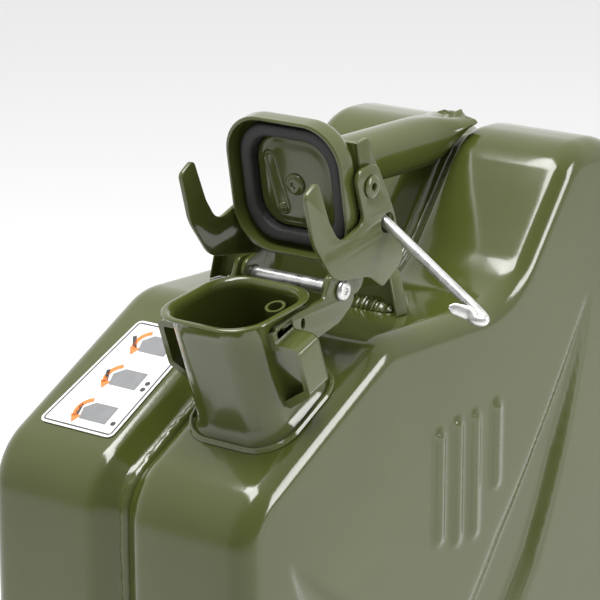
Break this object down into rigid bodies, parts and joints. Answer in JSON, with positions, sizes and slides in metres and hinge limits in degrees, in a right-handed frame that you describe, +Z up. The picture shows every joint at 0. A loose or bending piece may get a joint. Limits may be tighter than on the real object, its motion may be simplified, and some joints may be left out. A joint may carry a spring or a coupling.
{
  "type": "jerry can",
  "caption": "Steel fuel can with welded halves, a single handle, an offset leaning spout and an open hinged lid with a hooked cam lever and a locking pin.",
  "frame": {"origin": "bottom centre of the whole part's box, on the surface that the can stands on; the seam plane is at +Y of it because the locking pin sticks out towards -Y", "axes": "+Z up, +X along the can's length from the spout to the raised hump, -Y towards the half that carries the spout"},
  "size_m": [0.283, 0.1854, 0.4106],
  "materials": {
    "paint": "gloss olive paint over pressed steel, light orange peel",
    "zinc": "bright zinc plate, fine scratches",
    "rubber": "matt black moulded rubber",
    "label": null
  },
  "bodies": {
    "body": {"half_shell_near": "paint", "half_shell_far": "paint", "seam_weld": "paint", "label": "label", "handle_tube": "paint", "handle_foot": "paint", "foot_weld_near": "paint", "foot_weld_far": "paint", "spout_neck": "paint", "neck_weld": "paint", "vent_tube": "paint", "latch_bracket_near": "paint", "latch_bracket_far": "paint", "hinge_pin": "zinc"},
    "lid": {"lid_dish": "paint", "lid_gasket": "rubber", "lid_inner_panel": "paint", "lid_rivet": "paint", "lid_carrier": "paint"},
    "lever": {"hook_lever": "paint", "pivot_rivet_near": "paint", "pivot_rivet_far": "paint"},
    "pin": {"locking_pin": "zinc"}
  },
  "joints": [
    {"name": "lid_hinge", "type": "hinge", "parent": "body", "child": "lid", "pos_m": [-0.0702, -0.0118, 0.3426], "axis": [0, -1, 0], "range_deg": [0, 88]},
    {"name": "lever_pivot", "type": "hinge", "parent": "lid", "child": "lever", "pos_m": [-0.0613, -0.0118, 0.3843], "axis": [0, -1, 0], "range_deg": [0, 65]},
    {"name": "pin_tilt", "type": "hinge", "parent": "lever", "child": "pin", "pos_m": [-0.0504, -0.0428, 0.3676], "axis": [-1, 0, 0], "range_deg": [0, 33]}
  ],
  "couplings": [
    {"joint": "lever_pivot", "follows": "lid_hinge", "ratio": 0.73}
  ]
}
